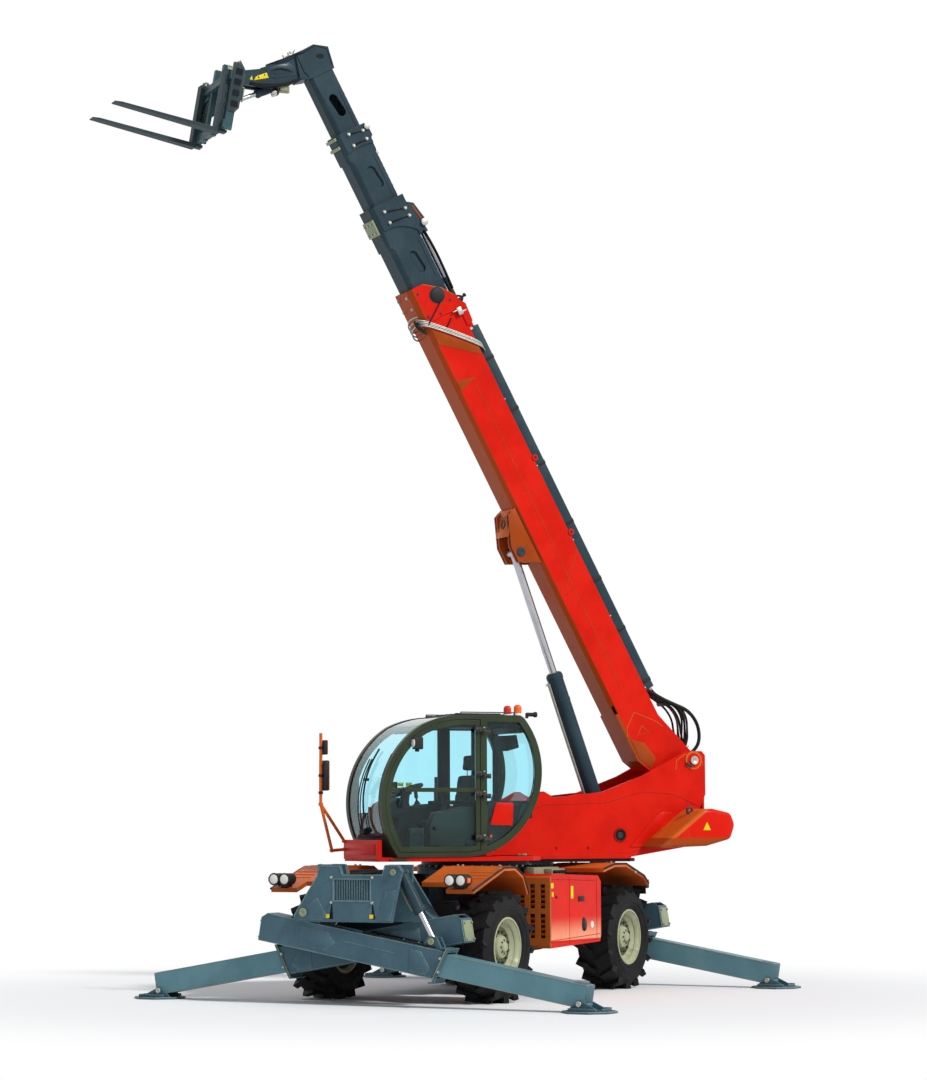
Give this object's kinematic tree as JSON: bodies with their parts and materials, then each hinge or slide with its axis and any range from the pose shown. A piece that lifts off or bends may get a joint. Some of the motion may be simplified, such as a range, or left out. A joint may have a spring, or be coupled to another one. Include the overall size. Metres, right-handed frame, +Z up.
{
  "type": "slewing telehandler",
  "caption": "Wheeled telehandler with a slewing turret, telescopic boom with pallet forks, and splayed stabilisers.",
  "frame": {"origin": "centre of the machine's footprint box on the ground", "axes": "+X towards the front axle, +Y to the machine's left, +Z up"},
  "size_m": [6.5851, 6.0701, 10.578],
  "materials": {
    "red_paint": "gloss",
    "orange_paint": "gloss",
    "grey_paint": "satin",
    "dark_paint": "satin",
    "cab_paint": "satin",
    "rim_paint": "satin",
    "teal_paint": "satin",
    "slate_steel": "matte",
    "tread": "matte",
    "iron": "rough",
    "rod_chrome": "polished",
    "cab_glazing": "clear",
    "black_plastic": "matte",
    "beacon_plastic": "gloss"
  },
  "bodies": {
    "chassis": {"chassis_frame": "dark_paint", "stabiliser_frames": "grey_paint", "axle_beams": "iron", "fenders": "orange_paint", "headlamps": "black_plastic", "engine_hood": "red_paint", "engine_block": "iron", "tank_box": "red_paint"},
    "knuckle_front_left": {"knuckle_front_left": "iron"},
    "wheel_front_left": {"rim_front_left": "rim_paint", "tyre_front_left": "tread"},
    "knuckle_front_right": {"knuckle_front_right": "iron"},
    "wheel_front_right": {"rim_front_right": "rim_paint", "tyre_front_right": "tread"},
    "knuckle_rear_left": {"knuckle_rear_left": "iron"},
    "wheel_rear_left": {"rim_rear_left": "rim_paint", "tyre_rear_left": "tread"},
    "knuckle_rear_right": {"knuckle_rear_right": "iron"},
    "wheel_rear_right": {"rim_rear_right": "rim_paint", "tyre_rear_right": "tread"},
    "leg_front_left": {"stabiliser_front_left_outer": "grey_paint"},
    "leg_inner_front_left": {"stabiliser_front_left_inner": "grey_paint"},
    "pad_front_left": {"stabiliser_front_left_pad": "grey_paint"},
    "jack_barrel_front_left": {"stabiliser_front_left_barrel": "dark_paint"},
    "jack_rod_front_left": {"stabiliser_front_left_rod": "rod_chrome"},
    "leg_front_right": {"stabiliser_front_right_outer": "grey_paint"},
    "leg_inner_front_right": {"stabiliser_front_right_inner": "grey_paint"},
    "pad_front_right": {"stabiliser_front_right_pad": "grey_paint"},
    "jack_barrel_front_right": {"stabiliser_front_right_barrel": "dark_paint"},
    "jack_rod_front_right": {"stabiliser_front_right_rod": "rod_chrome"},
    "leg_rear_left": {"stabiliser_rear_left_outer": "grey_paint"},
    "leg_inner_rear_left": {"stabiliser_rear_left_inner": "grey_paint"},
    "pad_rear_left": {"stabiliser_rear_left_pad": "grey_paint"},
    "jack_barrel_rear_left": {"stabiliser_rear_left_barrel": "dark_paint"},
    "jack_rod_rear_left": {"stabiliser_rear_left_rod": "rod_chrome"},
    "leg_rear_right": {"stabiliser_rear_right_outer": "grey_paint"},
    "leg_inner_rear_right": {"stabiliser_rear_right_inner": "grey_paint"},
    "pad_rear_right": {"stabiliser_rear_right_pad": "grey_paint"},
    "jack_barrel_rear_right": {"stabiliser_rear_right_barrel": "dark_paint"},
    "jack_rod_rear_right": {"stabiliser_rear_right_rod": "rod_chrome"},
    "turret": {"turret_frame": "red_paint", "counterweight": "orange_paint", "cab_frame": "cab_paint", "cab_glass": "cab_glazing", "seat": "black_plastic", "controls": "black_plastic", "mirror_arm": "orange_paint", "beacons": "beacon_plastic"},
    "door": {"cab_door": "cab_paint", "door_glass": "cab_glazing"},
    "boom_base": {"boom_base": "red_paint"},
    "lift_barrel": {"lift_barrel": "dark_paint"},
    "lift_rod": {"lift_rod": "rod_chrome"},
    "boom_section_1": {"boom_section_1": "dark_paint"},
    "boom_section_2": {"boom_section_2": "dark_paint"},
    "boom_section_3": {"boom_section_3": "dark_paint"},
    "carriage": {"carriage": "teal_paint", "forks": "slate_steel"},
    "tilt_barrel": {"tilt_barrel": "dark_paint"},
    "tilt_rod": {"tilt_rod": "rod_chrome"}
  },
  "joints": [
    {"name": "steer_front_left", "type": "hinge", "parent": "chassis", "child": "knuckle_front_left", "pos_m": [1.199, 1.008, 0.585], "axis": [0, 0, 1], "range_deg": [-30, 30]},
    {"name": "wheel_front_left", "type": "hinge", "parent": "knuckle_front_left", "child": "wheel_front_left", "pos_m": [1.199, 1.111, 0.585], "axis": [0, 1, 0], "continuous": true},
    {"name": "steer_front_right", "type": "hinge", "parent": "chassis", "child": "knuckle_front_right", "pos_m": [1.199, -0.752, 0.585], "axis": [0, 0, 1], "range_deg": [-30, 30]},
    {"name": "wheel_front_right", "type": "hinge", "parent": "knuckle_front_right", "child": "wheel_front_right", "pos_m": [1.199, -0.855, 0.585], "axis": [0, 1, 0], "continuous": true},
    {"name": "steer_rear_left", "type": "hinge", "parent": "chassis", "child": "knuckle_rear_left", "pos_m": [-1.811, 1.008, 0.585], "axis": [0, 0, 1], "range_deg": [-30, 30]},
    {"name": "wheel_rear_left", "type": "hinge", "parent": "knuckle_rear_left", "child": "wheel_rear_left", "pos_m": [-1.811, 1.111, 0.585], "axis": [0, 1, 0], "continuous": true},
    {"name": "steer_rear_right", "type": "hinge", "parent": "chassis", "child": "knuckle_rear_right", "pos_m": [-1.811, -0.752, 0.585], "axis": [0, 0, 1], "range_deg": [-30, 30]},
    {"name": "wheel_rear_right", "type": "hinge", "parent": "knuckle_rear_right", "child": "wheel_rear_right", "pos_m": [-1.811, -0.855, 0.585], "axis": [0, 1, 0], "continuous": true},
    {"name": "stabiliser_front_left_swing", "type": "hinge", "parent": "chassis", "child": "leg_front_left", "pos_m": [2.262, -0.452, 0.961], "axis": [-1, 0, 0], "range_deg": [-13, 3]},
    {"name": "stabiliser_front_left_extend", "type": "slide", "parent": "leg_front_left", "child": "leg_inner_front_left", "axis": [0, 0.9854, -0.1702], "range_m": [-1.38, 0.06]},
    {"name": "stabiliser_front_left_pad", "type": "hinge", "parent": "leg_inner_front_left", "child": "pad_front_left", "pos_m": [2.262, 2.71616, 0.09105], "axis": [1, 0, 0], "range_deg": [-10, 10]},
    {"name": "stabiliser_front_left_jack", "type": "hinge", "parent": "chassis", "child": "jack_barrel_front_left", "pos_m": [2.262, 0.628, 1.38], "axis": [1, 0, 0], "range_deg": [-4.37, 18.87]},
    {"name": "stabiliser_front_left_rod", "type": "slide", "parent": "jack_barrel_front_left", "child": "jack_rod_front_left", "axis": [0, 0.4889, -0.8724], "range_m": [-0.2504, 0.0582]},
    {"name": "stabiliser_front_right_swing", "type": "hinge", "parent": "chassis", "child": "leg_front_right", "pos_m": [2.002, 0.708, 0.961], "axis": [1, 0, 0], "range_deg": [-13, 3]},
    {"name": "stabiliser_front_right_extend", "type": "slide", "parent": "leg_front_right", "child": "leg_inner_front_right", "axis": [0, -0.9854, -0.1702], "range_m": [-1.38, 0.06]},
    {"name": "stabiliser_front_right_pad", "type": "hinge", "parent": "leg_inner_front_right", "child": "pad_front_right", "pos_m": [2.002, -2.46016, 0.09105], "axis": [-1, 0, 0], "range_deg": [-10, 10]},
    {"name": "stabiliser_front_right_jack", "type": "hinge", "parent": "chassis", "child": "jack_barrel_front_right", "pos_m": [2.002, -0.372, 1.38], "axis": [-1, 0, 0], "range_deg": [-4.37, 18.87]},
    {"name": "stabiliser_front_right_rod", "type": "slide", "parent": "jack_barrel_front_right", "child": "jack_rod_front_right", "axis": [0, -0.4889, -0.8724], "range_m": [-0.2504, 0.0582]},
    {"name": "stabiliser_rear_left_swing", "type": "hinge", "parent": "chassis", "child": "leg_rear_left", "pos_m": [-2.614, -0.452, 0.961], "axis": [-1, 0, 0], "range_deg": [-13, 3]},
    {"name": "stabiliser_rear_left_extend", "type": "slide", "parent": "leg_rear_left", "child": "leg_inner_rear_left", "axis": [0, 0.9854, -0.1702], "range_m": [-1.38, 0.06]},
    {"name": "stabiliser_rear_left_pad", "type": "hinge", "parent": "leg_inner_rear_left", "child": "pad_rear_left", "pos_m": [-2.614, 2.71616, 0.09105], "axis": [1, 0, 0], "range_deg": [-10, 10]},
    {"name": "stabiliser_rear_left_jack", "type": "hinge", "parent": "chassis", "child": "jack_barrel_rear_left", "pos_m": [-2.614, 0.628, 1.38], "axis": [1, 0, 0], "range_deg": [-4.37, 18.87]},
    {"name": "stabiliser_rear_left_rod", "type": "slide", "parent": "jack_barrel_rear_left", "child": "jack_rod_rear_left", "axis": [0, 0.4889, -0.8724], "range_m": [-0.2504, 0.0582]},
    {"name": "stabiliser_rear_right_swing", "type": "hinge", "parent": "chassis", "child": "leg_rear_right", "pos_m": [-2.874, 0.708, 0.961], "axis": [1, 0, 0], "range_deg": [-13, 3]},
    {"name": "stabiliser_rear_right_extend", "type": "slide", "parent": "leg_rear_right", "child": "leg_inner_rear_right", "axis": [0, -0.9854, -0.1702], "range_m": [-1.38, 0.06]},
    {"name": "stabiliser_rear_right_pad", "type": "hinge", "parent": "leg_inner_rear_right", "child": "pad_rear_right", "pos_m": [-2.874, -2.46016, 0.09105], "axis": [-1, 0, 0], "range_deg": [-10, 10]},
    {"name": "stabiliser_rear_right_jack", "type": "hinge", "parent": "chassis", "child": "jack_barrel_rear_right", "pos_m": [-2.874, -0.372, 1.38], "axis": [-1, 0, 0], "range_deg": [-4.37, 18.87]},
    {"name": "stabiliser_rear_right_rod", "type": "slide", "parent": "jack_barrel_rear_right", "child": "jack_rod_rear_right", "axis": [0, -0.4889, -0.8724], "range_m": [-0.2504, 0.0582]},
    {"name": "slew", "type": "hinge", "parent": "chassis", "child": "turret", "pos_m": [-0.306, 0.128, 1.475], "axis": [0, 0, 1], "continuous": true},
    {"name": "cab_door", "type": "hinge", "parent": "turret", "child": "door", "pos_m": [0.79338, 0.82975, 2.2], "axis": [0, 0, 1], "range_deg": [0, 100]},
    {"name": "boom_lift", "type": "hinge", "parent": "turret", "child": "boom_base", "pos_m": [-2.58012, 1.6209, 2.591], "axis": [-0.6088, -0.7934, 0], "range_deg": [-64.5, 7]},
    {"name": "lift_barrel", "type": "hinge", "parent": "turret", "child": "lift_barrel", "pos_m": [-1.82009, 1.03771, 1.738], "axis": [-0.6088, -0.7934, 0], "range_deg": [-69.68, 7.58]},
    {"name": "lift_rod", "type": "slide", "parent": "lift_barrel", "child": "lift_rod", "axis": [0.2707, -0.2078, 0.94], "range_m": [-1.3314, 0.1449]},
    {"name": "telescope_1", "type": "slide", "parent": "boom_base", "child": "boom_section_1", "axis": [0.3786, -0.2905, 0.8788], "range_m": [-0.48, 3.4]},
    {"name": "telescope_2", "type": "slide", "parent": "boom_section_1", "child": "boom_section_2", "axis": [0.3786, -0.2905, 0.8788], "range_m": [-0.48, 3.4]},
    {"name": "telescope_3", "type": "slide", "parent": "boom_section_2", "child": "boom_section_3", "axis": [0.3786, -0.2905, 0.8788], "range_m": [-0.48, 3.4]},
    {"name": "fork_tilt", "type": "hinge", "parent": "boom_section_3", "child": "carriage", "pos_m": [1.79361, -1.73518, 10.1198], "axis": [0.6088, 0.7934, 0], "range_deg": [-60, 40]},
    {"name": "tilt_barrel", "type": "hinge", "parent": "boom_section_3", "child": "tilt_barrel", "pos_m": [1.30969, -1.36386, 10.135], "axis": [-0.6088, -0.7934, 0], "range_deg": [-9.74, 14.6]},
    {"name": "tilt_rod", "type": "slide", "parent": "tilt_barrel", "child": "tilt_rod", "axis": [0.726, -0.5571, -0.4031], "range_m": [-0.1349, 0.2021]}
  ],
  "couplings": [
    {"joint": "steer_front_right", "follows": "steer_front_left", "ratio": 1},
    {"joint": "steer_rear_right", "follows": "steer_rear_left", "ratio": 1},
    {"joint": "stabiliser_front_left_jack", "follows": "stabiliser_front_left_swing", "ratio": -1.45},
    {"joint": "stabiliser_front_left_rod", "follows": "stabiliser_front_left_swing", "m_per_rad": 1.1015},
    {"joint": "stabiliser_front_right_jack", "follows": "stabiliser_front_right_swing", "ratio": -1.45},
    {"joint": "stabiliser_front_right_rod", "follows": "stabiliser_front_right_swing", "m_per_rad": 1.1015},
    {"joint": "stabiliser_rear_left_jack", "follows": "stabiliser_rear_left_swing", "ratio": -1.45},
    {"joint": "stabiliser_rear_left_rod", "follows": "stabiliser_rear_left_swing", "m_per_rad": 1.1015},
    {"joint": "stabiliser_rear_right_jack", "follows": "stabiliser_rear_right_swing", "ratio": -1.45},
    {"joint": "stabiliser_rear_right_rod", "follows": "stabiliser_rear_right_swing", "m_per_rad": 1.1015},
    {"joint": "lift_barrel", "follows": "boom_lift", "ratio": 1.08},
    {"joint": "lift_rod", "follows": "boom_lift", "m_per_rad": 1.1822},
    {"joint": "telescope_2", "follows": "telescope_1", "ratio": 1},
    {"joint": "telescope_3", "follows": "telescope_1", "ratio": 1},
    {"joint": "tilt_barrel", "follows": "fork_tilt", "ratio": -0.24301},
    {"joint": "tilt_rod", "follows": "fork_tilt", "m_per_rad": -0.19249}
  ]
}
